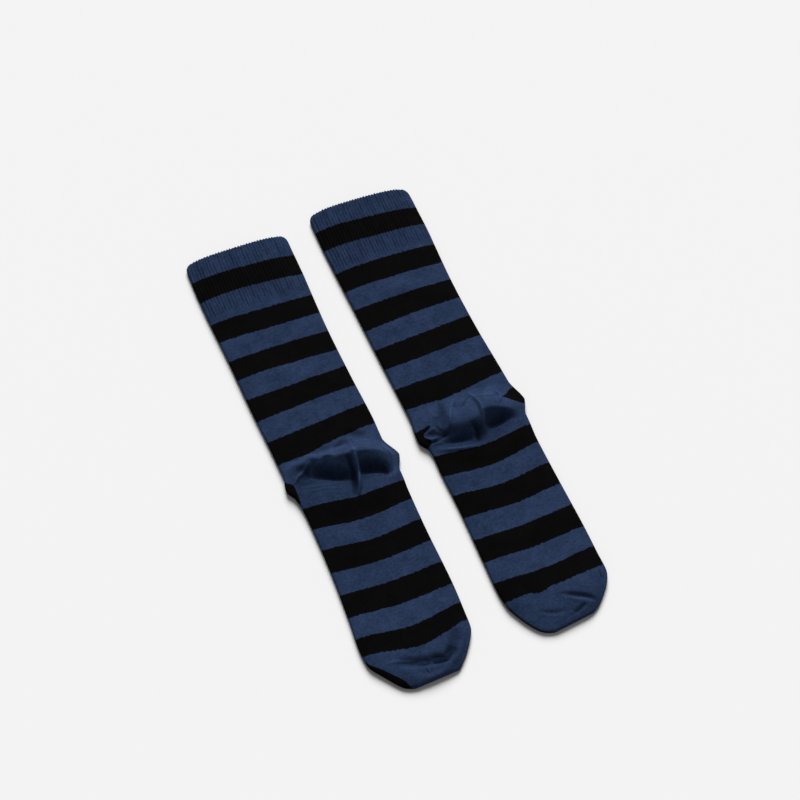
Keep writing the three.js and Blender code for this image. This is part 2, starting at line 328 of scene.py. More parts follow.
# Places where one change lies further from the cuff than its row says. change: which one, from 0.
LEFT_DIPS = table(
    "change across reach further",
    (9, -16, 15, 1.4),
    (11, -48, 16, 12.0),
)
RIGHT_DIPS = table(
    "change across reach further",
    (9, -12, 12, 1.0),
    (10, 30, 13, 7.0),
    (19, -12, 10, 2.2),
)

# Where the blue pocket ends and the striped front begins, measured round the side folds from the middle.
LEFT_BORDER = table(
    "at left right",
    (196, 50, 40.6),
    (214, 46, 41.0),
    (219, 44, 43.0),
    (223, 39.6, 45.2),
    (227, 36.4, 47.2),
    (233, 36.0, 55),
    (240, 36.2, 58),
    (247, 37.0, 58),
    (256, 38.5, 58),
)
RIGHT_BORDER = table(
    "at left right",
    (196, 50, 27),
    (214, 46, 28),
    (221, 33.0, 29.5),
    (225, 30.5, 34.5),
    (228, 36.5, 39.5),
    (231, 37.8, 44.5),
    (234, 35.6, 54),
    (237.5, 34.4, 58),
    (241, 39.5, 58),
    (246, 48, 58),
    (256, 50, 58),
)

# The black at the toe's left edge, where the striped front shows past the fold. inset: how far in from the
# outline it begins.
LEFT_TOE_EDGE = table(
    "at inset",
    (380, -2.5),
    (385, 0.5),
    (391, 3.4),
    (400, 4.8),
    (407, 5.4),
    (411, 3.0),
    (414, -2.0),
)
RIGHT_TOE_EDGE = table(
    "at inset",
    (380, -2.0),
    (386, -0.8),
    (400, -0.5),
    (412, -0.4),
    (417, -1.0),
)

# Each sock. centre and origin: the places of its middle line and of distance 0, across and along the pair;
# cuff and toe: where its cloth begins and ends; cuff_tilt and slant: how far the cuff's and the toe's ends
# turn; phase: sets its unevenness apart from the other's; front_turn: -1 where the front's creases are
# mirrored.
LEFT_SOCK = {
    "name": "left_sock_knit",
    "node": "left_sock",
    "centre": -54.87,
    "origin": 205.415,
    "cuff": 1.5,
    "cuff_tilt": 0.018,
    "toe": 414.0,
    "outline": LEFT_OUTLINE,
    "puff": LEFT_PUFF,
    "slant": 0.05,
    "ears": LEFT_EARS,
    "pocket": LEFT_POCKET,
    "folds": LEFT_FOLDS,
    "gores": LEFT_GORES,
    "changes": LEFT_CHANGES,
    "dips": LEFT_DIPS,
    "border": LEFT_BORDER,
    "toe_edge": LEFT_TOE_EDGE,
    "phase": 0.0,
    "front_turn": 1,
}
RIGHT_SOCK = {
    "name": "right_sock_knit",
    "node": "right_sock",
    "centre": 53.13,
    "origin": 211.415,
    "cuff": -0.6,
    "cuff_tilt": 0.044,
    "toe": 416.0,
    "outline": RIGHT_OUTLINE,
    "puff": RIGHT_PUFF,
    "slant": 0.12,
    "ears": RIGHT_EARS,
    "pocket": RIGHT_POCKET,
    "folds": RIGHT_FOLDS,
    "gores": RIGHT_GORES,
    "changes": RIGHT_CHANGES,
    "dips": RIGHT_DIPS,
    "border": RIGHT_BORDER,
    "toe_edge": RIGHT_TOE_EDGE,
    "phase": 2.3,
    "front_turn": -1,
}

# Along the sock
CUFF_TILT_END = 60
RIB_FULL_END = 54
RIB_END = 62
POCKET_START = 196
POCKET_END = 256
TOE_EDGE_START = 381
SLANT_START = 394
SLANT_END = 416
TIP = 1.1  # the round end of the toe
CUFF_INSIDE = 3  # where the inside's rows begin, past the cuff edge
TOE_INSIDE = 6  # where they end, before the toe's end

# Points round the tube
RIBS_ON_FACE = 32
RIBS_ON_FOLD = 2
WALES_PER_RIB = 3
FRONT_POINTS_PER_RIB = 3
FOLD_POINTS_PER_RIB = 8
BACK_POINTS_PER_RIB = 6
BACK, FRONT, RIGHT_FOLD, LEFT_FOLD = 0, 1, 2, 3

# The cuff's ribs
EDGE_WAVE = 0.38  # how far the ribs' ends stand out past the cuff edge
EDGE_WAVE_END = 5  # how far from the edge that ends
FRONT_GROOVE_SHARE = 0.6  # how deep the front's grooves are beside the back's; it has no raised ribs
RIB_WANDER = table(
    "height along across turn",
    (0.35, 7.3, 9, 1),
    (0.25, 3.1, -5, 2),
)
RIB_EVEN = 0.75
RIB_UNEVENNESS = table(
    "height along across turn",
    (0.3, 11, 3.7, 1),
    (0.3, -5.3, 1.9, 3),
)

# The cloth's own unevenness
DRIFT = table(
    "height along across turn",
    (0.12, 17, 31, 1),
    (0.10, 9.5, -14, 2.1),
    (0.07, 5.3, 8.2, 0.7),
    (0.05, 3.9, -5.1, 1.3),
)
WALE_DRIFT = {"height": 0.06, "across": 6.3, "swing": 1.9, "along": 23}

# Folds, pocket and gores
PATH_POINTS = 40
RUN_OUT = 0.5  # how far a fold runs on past its path's ends, as a share of its reach
NARROW = 3  # a fold that reaches less to its left counts as narrow
CREST_HEIGHT = 2.2
POCKET_RISE_POWER = 1.5
GORE_DEPTH = 0.55
GORE_RADIUS = 0.55
PUFF_POWER, CLOTH_POWER, POCKET_POWER = 4, 6, 8  # how close to the side folds each still lifts the back
LEAST_INSIDE = 0.25  # between the back's cloth and the front's
SINK_SOFTNESS = 0.6

# Stripes
SIDE_LEAN = 0.6  # how much further toward the toe they lie, for each millimetre down a side fold
SIDE_PLACE = 30
SIDE_BEND = 34  # how far out a change bends away from its course on the middle line
FACE_END = 39  # past this a change keeps its distance from the cuff edge
LEAST_STRIPE = 0.5
TOE_COUNT = 0.9  # how far the count goes on rising past the last change, which keeps the toe one stripe
TOE_COUNT_LENGTH = 36  # over this length
HIDDEN = 1000  # stands for a place that isn't on the back or its side folds
CLEAR = 5  # the greatest distance that is told from the pocket's border and the toe's edge

# The knit and its map
COURSE = 0.75
MAP_WIDTH = 0.45  # of the outside's part, and of the inside's
MAP_INSIDE = 0.5  # where the inside's part begins
MAP_LENGTH = 450  # the millimetres that the whole map's height stands for
MAP_START = 0.03
RAGGED = 0.11  # how far a colour change wanders, as a share of a stripe
LEG_LEAN = 1.3
LEG_JAG = 0.045

# How a place's form changes its colour, as painted shade and painted highlight: each as (share, start),
# share times the form plus start
# painted shade between the stitches' legs, darkest where the knit's height is 0
STITCH_SHADE = 0.5, 0.62
# painted shade in the grooves between the cuff's ribs
GROOVE_SHADE = -0.36, 1.05
# painted highlight on the tops of narrow folds and painted shade in the troughs
CREST_SHADE = 0.38, 1.0

# The stage
FLOOR_REACH = 3
FLOOR_DROP = 0.0002


def along(rows, column, at, key="at"):
    """A column's values on a smooth curve through its rows: a cubic between two rows, level with the
    line between their neighbours at each row."""
    places = np.array([row[key] for row in rows], float)
    values = np.array([row[column] for row in rows], float)
    slopes = np.empty_like(values)
    slopes[1:-1] = (values[2:] - values[:-2]) / (places[2:] - places[:-2])
    slopes[0] = (values[1] - values[0]) / (places[1] - places[0])
    slopes[-1] = (values[-1] - values[-2]) / (places[-1] - places[-2])
    at = np.clip(at, places[0], places[-1])
    i = np.clip(np.searchsorted(places, at) - 1, 0, len(places) - 2)
    span = places[i + 1] - places[i]
    t = (at - places[i]) / span
    return (
        values[i] * (1 + 2 * t) * (1 - t) ** 2
        + slopes[i] * span * t * (1 - t) ** 2
        + values[i + 1] * t**2 * (3 - 2 * t)
        + slopes[i + 1] * span * t**2 * (t - 1)
    )


def bump(u):
    """1 where u is 0, falling as a squared cosine to 0 where u is 1 or more either way."""
    return np.cos(np.pi / 2 * np.clip(np.abs(u), 0, 1)) ** 2


def peak(u):
    """Like bump, but half of it falls evenly, so that it comes to a blunt point where u is 0."""
    return (bump(u) + 1 - np.clip(np.abs(u), 0, 1)) / 2


def smooth(low, high, value):
    """0 below low, 1 above high, and a smooth step between them."""
    t = np.clip((value - low) / (high - low), 0, 1)
    return t * t * (3 - 2 * t)


def half_width(sock, at, side):
    """The half width on one side: the outline, plus the heel's corner as a bump along the sock."""
    width = along(sock["outline"], "left" if side < 0 else "right", at)
    for ear in sock["ears"]:
        if ear["side"] == side:
            reach = np.where(at < ear["at"], ear["before"], ear["after"])
            width = width + ear["out"] * peak((at - ear["at"]) / reach)
    return width


def path_points(path):
    """Points along a smooth curve through the path's points, evenly spaced in the path's own parameter."""
    knots = np.arange(len(path), dtype=float)
    rows = [{"at": k, "s": p[0], "x": p[1]} for k, p in zip(knots, path)]
    t = np.linspace(0, len(path) - 1, PATH_POINTS)
    return np.stack([along(rows, "s", t), along(rows, "x", t)], 1)


def fold_lift(fold, at, x):
    """A fold's height: its rise, times a taper toward its path's ends, times a bump across it whose two
    sides may differ in reach. The nearest of the path's points gives both distances."""
    points = path_points(fold["path"])
    steps = np.gradient(points, axis=0)
    lengths = np.hypot(steps[:, 0], steps[:, 1])
    run = np.cumsum(lengths) - lengths[0]
    reach = max(fold["left"], fold["right"])
    lift = np.zeros(np.broadcast(at, x).shape)
    at, x = np.broadcast_to(at, lift.shape), np.broadcast_to(x, lift.shape)
    near = (
        (at > points[:, 0].min() - reach)
        & (at < points[:, 0].max() + reach)
        & (x > points[:, 1].min() - reach)
        & (x < points[:, 1].max() + reach)
    )
    s, a = at[near], x[near]
    nearest = np.argmin((s[:, None] - points[:, 0]) ** 2 + (a[:, None] - points[:, 1]) ** 2, 1)
    ds, da = s - points[nearest, 0], a - points[nearest, 1]
    ts, ta = steps[nearest, 0] / lengths[nearest], steps[nearest, 1] / lengths[nearest]
    aside = ts * da - ta * ds
    down = run[nearest] + ds * ts + da * ta
    width = np.where(aside < 0, fold["left"], fold["right"])
    middle = run[-1] / 2
    taper = 1 - np.clip(np.abs(down - middle) / (middle + reach * RUN_OUT), 0, 1) ** 3
    lift[near] = fold["rise"] * taper * bump(aside / width)
    return lift


def ramp(t, rounded):
    """0 where t is 0 or less, 1 where it is 1 or more, and between them a slope that is even where rounded
    is 0 and a smooth step where it is 1."""
    t = np.clip(t, 0, 1)
    return t + rounded * (t * t * (3 - 2 * t) - t)


def pocket_lift(sock, at, x):
    """The heel pocket's height: for each distance across, a smooth rise from its start to its crest and an
    even slope from there to its foot."""
    start, crest, foot, rise, rounded = (
        along(sock["pocket"], column, x, "across") for column in ("start", "crest", "foot", "rise", "round")
    )
    up = np.sin(np.pi / 2 * np.clip((at - start) / (crest - start), 0, 1)) ** POCKET_RISE_POWER
    return np.maximum(rise, 0) * up * (1 - ramp((at - crest) / (foot - crest), rounded))


def gore_lift(sock, at, x):
    """The small holes along the gore lines: a round dent at each, as deep as GORE_DEPTH."""
    lift = 0
    for gore in sock["gores"]:
        for k in range(gore["holes"]):
            t = (k + 0.5) / gore["holes"]
            s0 = gore["start"][0] * (1 - t) + gore["end"][0] * t
            x0 = gore["start"][1] * (1 - t) + gore["end"][1] * t
            lift = lift - GORE_DEPTH * np.exp(-((at - s0) ** 2 + (x - x0) ** 2) / GORE_RADIUS**2)
    return lift


def waves(rows, at, across, phase, start=0.0):
    """start, plus a sine wave for each row: its height times the sine of at over its length along, plus
    across over its length across, plus its turn times the phase."""
    return sum(
        (
            row["height"] * np.sin(at / row["along"] + across / row["across"] + row["turn"] * phase)
            for row in rows
        ),
        start,
    )


def drift(sock, at, x):
    """The faint unevenness of laid cloth: four long waves that cross each other, and one across the sock
    whose crests swing from side to side along it."""
    wale = WALE_DRIFT
    swing = wale["swing"] * np.sin(at / wale["along"] + sock["phase"])
    return waves(DRIFT, at, x, sock["phase"]) + wale["height"] * np.sin(x / wale["across"] + swing)


def crest_share(sock, at, x):
    """1 on the top of a narrow fold, -1 at the bottom of a trough and 0 on even cloth: the sum of their
    heights over CREST_HEIGHT, held between -1 and 1. The colour takes a painted highlight from it on the
    tops and painted shade in the troughs."""
    sharp = [fold for fold in sock["folds"].values() if fold["left"] < NARROW or fold["rise"] < 0]
    return np.clip(sum(fold_lift(fold, at, x) for fold in sharp) / CREST_HEIGHT, -1, 1)


def back_lift(sock, at, x, v):
    """How far the back stands above the side folds: 0 at them, where v is -1 or 1, and most between."""
    folds = sum(fold_lift(fold, at, x) for fold in sock["folds"].values())
    cloth = folds + drift(sock, at, x) + gore_lift(sock, at, x)
    puff = along(sock["puff"], "rise", at) * (1 - v**PUFF_POWER)
    return puff + pocket_lift(sock, at, x) * (1 - v**POCKET_POWER) + (1 - v**CLOTH_POWER) * cloth


def front_lift(sock, at, x, v):
    """How far the front's creases lift it. All is 0 at the folds."""
    return (1 - v**2) * sum(fold_lift(fold, at, sock["front_turn"] * x) for fold in FRONT_FOLDS.values())


def held_up(sock, sizes, at, x, v, radius, lift):
    """The back's lift, kept so high that its cloth stays above the front's: a soft maximum of the lift and
    the lowest lift that leaves LEAST_INSIDE between the two. All is unchanged at the side folds."""
    lowest = 2 * sizes.wall / MM + LEAST_INSIDE + front_lift(sock, at + 0 * x, x, v) - 2 * radius
    over = lift - lowest
    raised = (np.sqrt(over * over + SINK_SOFTNESS**2) - over) / 2
    return lift + raised * (1 - v**POCKET_POWER)


def rib_wave(sock, at, phase):
    """The ribs: a cosine wave round the cuff whose crests wander a little and are uneven in height."""
    wander = waves(RIB_WANDER, at, phase, sock["phase"])
    return waves(RIB_UNEVENNESS, at, phase, sock["phase"], RIB_EVEN) * np.cos(phase + wander)


def columns(sizes):
    """The columns round the tube: which run each lies on, how far along it from 0 to 1, and its wale."""
    ribs = sizes.ribs_on_face
    counts = (
        (FRONT, ribs * FRONT_POINTS_PER_RIB, ribs),
        (RIGHT_FOLD, RIBS_ON_FOLD * FOLD_POINTS_PER_RIB, RIBS_ON_FOLD),
        (BACK, ribs * BACK_POINTS_PER_RIB, ribs),
        (LEFT_FOLD, RIBS_ON_FOLD * FOLD_POINTS_PER_RIB, RIBS_ON_FOLD),
    )
    run, t, wale = [], [], []
    passed = 0
    for kind, count, ribs_here in counts:
        share = np.arange(count) / count
        run.append(np.full(count, kind))
        t.append(share)
        wale.append((passed + ribs_here * share) * WALES_PER_RIB)
        passed += ribs_here
    return np.concatenate(run), np.concatenate(t), np.concatenate(wale), passed * WALES_PER_RIB


def tube(sock, sizes, at, inset, inside):
    """The tube's points for a column of distances and a row of places round it. Each section is a flat
    front, a half circle at each side fold and a back that is lifted, all moved inwards by the inset. The
    ribs run along the outer face's cuff."""
    run, t, wale, _ = columns(sizes)
    rib_phase = 2 * np.pi * wale[None, :] / WALES_PER_RIB
    share = np.where(inside, 0.0, 1 - smooth(RIB_FULL_END, RIB_END, at))
    wave = rib_wave(sock, at, rib_phase)
    rib = share * sizes.rib_rise / MM * wave
    at = at - EDGE_WAVE * share * wave * bump((at - sock["cuff"]) / EDGE_WAVE_END)

    radius = along(sock["outline"], "thick", at) / 2
    right = half_width(sock, at, 1) - radius
    left = -half_width(sock, at, -1) + radius
    middle, reach = (left + right) / 2, (right - left) / 2

    x = np.where(run == FRONT, left + (right - left) * t, right + (left - right) * t)
    v = np.clip((x - middle) / reach, -1, 1)
    lift = np.zeros(x.shape)
    for kind, raised in ((BACK, back_lift), (FRONT, front_lift)):
        held = np.broadcast_to((run == kind)[None, :], x.shape)
        lift[held] = raised(sock, at[held], x[held], v[held])
    lift = np.where(run == BACK, held_up(sock, sizes, at, x, v, radius, lift), lift)
    front_z = inset + lift + FRONT_GROOVE_SHARE * np.maximum(-rib, 0)
    z = np.where(run == FRONT, front_z, 2 * radius + lift - inset + rib)

    for kind, side, centre in ((RIGHT_FOLD, 1, right), (LEFT_FOLD, -1, left)):
        angle = np.pi * (t - side / 2)
        r = radius - inset + rib * (1 + np.sin(angle)) / 2
        on = run == kind
        x = np.where(on, centre + r * np.cos(angle), x)
        z = np.where(on, radius + r * np.sin(angle), z)

    toe_turn = sock["slant"] * smooth(SLANT_START, SLANT_END, at)
    cuff_turn = sock["cuff_tilt"] * (1 - smooth(0, CUFF_TILT_END, at))
    y = (toe_turn - cuff_turn) * x - at

    # how far round the tube each point lies from the back's middle line, for the colours
    round_fold = np.pi * radius
    turned = np.select(
        [run == RIGHT_FOLD, run == LEFT_FOLD, run == FRONT],
        [right + round_fold * (1 - t), left - round_fold * t, HIDDEN + 0 * x],
        x,
    )
    # the colours lie further toward the toe down the side folds, as the stripes do there
    below = np.where(run == BACK, 0, np.maximum(2 * radius - inset - z, 0))
    # how deep in a groove between the cuff's ribs each point lies, for the painted shade there
    groove = share * np.clip(-wave, 0, 1)
    return x, y, z, at, at + SIDE_LEAN * below, turned, wale, groove


def stripes(sock, at, x):
    """Which stripe a place lies on, counted from the cuff, and how far into it: a change's place is a
    smooth curve through its row's three, and the count rises evenly from each change to the next."""
    u = np.tanh(np.clip(x, -FACE_END, FACE_END) / SIDE_BEND) / math.tanh(SIDE_PLACE / SIDE_BEND)
    before, count = sock["cuff"], 0
    for number, row in enumerate(sock["changes"]):
        slope = (row["right"] - row["left"]) / 2
        bow = (row["right"] + row["left"]) / 2 - row["middle"]
        change = row["middle"] + slope * u + bow * u * u
        for dip in sock["dips"]:
            if dip["change"] == number:
                change = change + dip["further"] * bump((x - dip["across"]) / dip["reach"])
        change = np.maximum(change, before + LEAST_STRIPE)
        count = count + np.clip((at - before) / (change - before), 0, 1)
        before = change
    return count + np.clip((at - before) * TOE_COUNT / TOE_COUNT_LENGTH, 0, TOE_COUNT)


def spaced(*spans):
    """Even steps through each span in turn, given as (first, last, how many)."""
    return np.concatenate([np.linspace(*span) for span in spans])


def sock_rows(sock, sizes):
    """The rows along the tube, from the closed end of its inside to the cuff, over the rim, and down the
    outside to the closed toe: each row's distance from the cuff edge and its inset."""
    wall = sizes.wall / MM
    cuff, toe = sock["cuff"], sock["toe"]
    inner = spaced((toe - TOE_INSIDE, 256, 12), (252, 196, 14), (188, cuff + CUFF_INSIDE, 12))
    turn = np.linspace(0, np.pi, 7)
    rim = cuff + wall / 2 * (1 - np.sin(turn)), wall / 2 * (1 + np.cos(turn))
    outer = spaced(
        (cuff + wall, 60, 34), (62, 190, 46), (191, 256, 66), (258, 370, 44), (371, toe - TIP, 42)
    )
    end = np.linspace(0.25, 1, 6) * np.pi / 2
    tip = toe - TIP + TIP * np.sin(end), TIP * (1 - np.cos(end))
    at = np.concatenate([inner, rim[0], outer, tip[0]])
    inset = np.concatenate([np.full(len(inner), wall), rim[1], np.zeros(len(outer)), tip[1]])
    inside = np.arange(len(at)) < len(inner)
    return at[:, None], inset[:, None], inside[:, None]


def sock_mesh(sock, sizes):
    """One sock as a closed wall: the grid of the tube's points, joined round, and a fan at each end."""
    at, inset, inside = sock_rows(sock, sizes)
    x, y, z, place, dyed, turned, wale, groove = tube(sock, sizes, at, inset, inside)
    rows, count = x.shape

    points = np.stack([x + sock["centre"], y + sock["origin"], z], 2) * MM
    vertices = np.vstack([points.reshape(-1, 3), points[0].mean(0), points[-1].mean(0)])

    r, c = np.meshgrid(np.arange(rows - 1), np.arange(count), indexing="ij")
    after = (c + 1) % count
    quads = np.stack([r * count + c, r * count + after, (r + 1) * count + after, (r + 1) * count + c], 2)
    ring, following = c[0], after[0]
    last_row = (rows - 1) * count
    first_fan = np.stack([np.full(count, rows * count), following, ring], 1)
    last_fan = np.stack([np.full(count, rows * count + 1), last_row + ring, last_row + following], 1)

    mesh = bpy.data.meshes.new(sock["name"])
    loops = np.concatenate([quads.reshape(-1), first_fan.reshape(-1), last_fan.reshape(-1)])
    corners = np.concatenate([np.full((rows - 1) * count, 4), np.full(2 * count, 3)])
    mesh.vertices.add(len(vertices))
    mesh.vertices.foreach_set("co", vertices.reshape(-1))
    mesh.loops.add(len(loops))
    mesh.loops.foreach_set("vertex_index", loops)
    mesh.polygons.add(len(corners))
    mesh.polygons.foreach_set("loop_start", np.cumsum(corners) - corners)
    mesh.polygons.foreach_set("use_smooth", np.ones(len(corners), bool))
    mesh.update(calc_edges=True)
    mesh.uv_layers.new(name="knit").data.foreach_set("uv", knit_map(sizes, place, wale, inside).reshape(-1))

    band = stripes(sock, dyed, x)
    pocket = np.minimum(
        turned + along(sock["border"], "left", dyed), along(sock["border"], "right", dyed) - turned
    )
    on_pocket = (dyed > POCKET_START) & (dyed < POCKET_END) & (turned < HIDDEN)
    pocket = np.where(on_pocket, pocket, -CLEAR)
    reach = half_width(sock, dyed, -1) - along(sock["toe_edge"], "inset", dyed)
    toe = np.where((dyed > TOE_EDGE_START) & (turned < 0), -turned - reach, -CLEAR)
    # where the painted highlight on fold tops and the painted shade in troughs lie
    crest = np.where(turned < HIDDEN, crest_share(sock, place + 0 * x, x), 0)
    add_attribute(mesh, "band", band, [band[0].mean(), band[-1].mean()])
    add_attribute(mesh, "pocket", np.clip(pocket, -CLEAR, CLEAR), [-CLEAR, -CLEAR])
    add_attribute(mesh, "toe_edge", np.clip(toe, -CLEAR, CLEAR), [-CLEAR, -CLEAR])
    # the ribs' grooves, where the colour takes painted shade
    add_attribute(mesh, "groove", groove, [0, 0])
    add_attribute(mesh, "crest", crest, [0, 0])
    return mesh


def knit_map(sizes, place, wale, inside):
    """The knit's own map, a place for each corner of each face: wales round the tube and courses along it,
    with the inside's part beside the outside's."""
    wales = columns(sizes)[3]
    wide_u = np.concatenate([wale, [wales]])[None, :] / wales * MAP_WIDTH
    wide_u = wide_u + np.where(inside, MAP_INSIDE, 0.0)
    v = place / MAP_LENGTH + MAP_START
    wide_v = np.concatenate([v, v[:, :1]], 1)
    parts = []
    for wide in (wide_u, wide_v):
        here, after = wide[:, :-1], wide[:, 1:]
        faces = np.stack([here[:-1], after[:-1], after[1:], here[1:]], 2)
        first_fan = np.stack([here[0], after[0], here[0]], 1)
        last_fan = np.stack([here[-1], here[-1], after[-1]], 1)
        parts.append(np.concatenate([faces.reshape(-1), first_fan.reshape(-1), last_fan.reshape(-1)]))
    return np.stack(parts, 1)


def add_attribute(mesh, name, values, ends):
    """One number for each point of the grid, and one for each closed end's middle point."""
    data = np.concatenate([values.reshape(-1), ends])
    mesh.attributes.new(name, "FLOAT", "POINT").data.foreach_set("value", data)


class Nodes:
    """Adds shader nodes one after another, and joins their sockets by name or number."""

    def __init__(self, tree):
        self.tree = tree
        self.count = 0

    def add(self, kind, values=(), **settings):
        node = self.tree.nodes.new(kind)
        node.location = (180 * (self.count % 12), -220 * (self.count // 12))
        self.count += 1
        for name, value in settings.items():
            setattr(node, name, value)
        for socket, value in dict(values).items():
            if isinstance(value, bpy.types.NodeSocket):
                self.tree.links.new(value, node.inputs[socket])
            else:
                node.inputs[socket].default_value = value
        return node

    def math(self, operation, *values):
        node = self.add("ShaderNodeMath", enumerate(values), operation=operation)
        return node.outputs[0]

    def mix(self, share, first, second):
        node = self.add("ShaderNodeMix", {0: share, 6: first, 7: second}, data_type="RGBA")
        return node.outputs[2]


def new_group(name, inputs, outputs):
    """A shader node group with named inputs, each with its default, and named outputs."""
    group = bpy.data.node_groups.new(name, "ShaderNodeTree")
    for label, kind, default in inputs:
        socket = group.interface.new_socket(label, in_out="INPUT", socket_type=kind)
        if default is not None:
            socket.default_value = default
    for label, kind in outputs:
        group.interface.new_socket(label, in_out="OUTPUT", socket_type=kind)
    nodes = Nodes(group)
    return group, nodes, nodes.add("NodeGroupInput").outputs, nodes.add("NodeGroupOutput")


def stitch_group(wales):
    """Knit stitches: in each wale, two legs that lean together, one pair for each course. Height is 1 on
    the legs and 0 between them. Jag shifts a colour change by part of a course, as the legs' lean does."""
    group, nodes, given, result = new_group(
        "knit stitches",
        [("Course", "NodeSocketFloat", COURSE)],
        [("Height", "NodeSocketFloat"), ("Jag", "NodeSocketFloat")],
    )
    split = nodes.add("ShaderNodeSeparateXYZ", {0: nodes.add("ShaderNodeUVMap", uv_map="knit").outputs[0]})
    wale = nodes.math("MULTIPLY", split.outputs[0], wales / MAP_WIDTH)
    course = nodes.math("DIVIDE", nodes.math("MULTIPLY", split.outputs[1], MAP_LENGTH), given["Course"])
    aside = nodes.math("ABSOLUTE", nodes.math("SUBTRACT", nodes.math("FRACT", wale), 0.5))
    legs = nodes.math("ABSOLUTE", nodes.math("SINE", nodes.math("MULTIPLY", wale, 2 * math.pi)))
    legs = nodes.math("POWER", legs, 0.6)
    leaned = nodes.math("SUBTRACT", course, nodes.math("MULTIPLY", aside, LEG_LEAN))
    rows = nodes.math("COSINE", nodes.math("MULTIPLY", leaned, 2 * math.pi))
    rows = nodes.math("MULTIPLY_ADD", rows, 0.22, 0.78)
    nodes.tree.links.new(nodes.math("MULTIPLY", legs, rows), result.inputs["Height"])
    nodes.tree.links.new(nodes.math("MULTIPLY_ADD", aside, LEG_JAG, -0.011), result.inputs["Jag"])
    return group


def mottle_group():
    """Yarn that takes its dye unevenly: soft patches, shorter streaks along the courses, and fine specks.
    Share runs about 1, and a colour is multiplied by it."""
    group, nodes, given, result = new_group(
        "yarn mottle",
        [("Patches", "NodeSocketFloat", 0.2), ("Specks", "NodeSocketFloat", 0.25)],
        [("Share", "NodeSocketFloat")],
    )
    place = nodes.add("ShaderNodeTexCoord").outputs["Object"]
    soft = nodes.add("ShaderNodeTexNoise", {"Vector": place, "Scale": 110.0, "Detail": 3.0})
    stretched = nodes.add("ShaderNodeMapping", {"Vector": place, "Scale": (0.6, 1.0, 1.0)}).outputs[0]
    streaks = nodes.add("ShaderNodeTexNoise", {"Vector": stretched, "Scale": 700.0, "Detail": 2.0})
    specks = nodes.add("ShaderNodeTexNoise", {"Vector": place, "Scale": 2200.0, "Detail": 1.0})
    total = nodes.math("MULTIPLY", nodes.math("SUBTRACT", soft.outputs[0], 0.5), given["Patches"])
    fine = nodes.math("ADD", streaks.outputs[0], specks.outputs[0])
    fine = nodes.math("MULTIPLY", nodes.math("SUBTRACT", fine, 1.0), given["Specks"])
    nodes.tree.links.new(nodes.math("ADD", nodes.math("ADD", total, fine), 1.0), result.inputs["Share"])
    return group


def placed_group(nodes, group, values=()):
    """A node group in a material, with this material's values."""
    node = nodes.add("ShaderNodeGroup", node_tree=group)
    for name, value in dict(values).items():
        node.inputs[name].default_value = value
    return node.outputs


def is_dark(nodes, jag):
    """1 on the black stripes and 0 on the blue: every other band is black, except on the heel pocket and
    past the last change, and the toe's edge is black."""
    band = nodes.add("ShaderNodeAttribute", attribute_name="band").outputs["Fac"]
    pocket = nodes.add("ShaderNodeAttribute", attribute_name="pocket").outputs["Fac"]
    toe = nodes.add("ShaderNodeAttribute", attribute_name="toe_edge").outputs["Fac"]
    place = nodes.add("ShaderNodeTexCoord").outputs["Object"]
    ragged = nodes.add("ShaderNodeTexNoise", {"Vector": place, "Scale": 460.0, "Detail": 1.0}).outputs[0]
    band = nodes.math("ADD", band, nodes.math("MULTIPLY_ADD", ragged, RAGGED, -RAGGED / 2))
    band = nodes.math("ADD", band, jag)
    odd = nodes.math("FLOORED_MODULO", nodes.math("FLOOR", band), 2.0)
    on_pocket = nodes.math("GREATER_THAN", pocket, 0.0)
    leg_end = nodes.math("GREATER_THAN", band, float(HEEL_STRIPE - 1))
    foot_start = nodes.math("LESS_THAN", band, float(HEEL_STRIPE + 1))
    hidden = nodes.math("MULTIPLY", on_pocket, nodes.math("MULTIPLY", leg_end, foot_start))
    odd = nodes.math("MULTIPLY", odd, nodes.math("SUBTRACT", 1.0, hidden))
    odd = nodes.math("MULTIPLY", odd, nodes.math("LESS_THAN", band, float(len(LEFT_CHANGES))))
    return nodes.math("MAXIMUM", odd, nodes.math("GREATER_THAN", toe, 0.0))


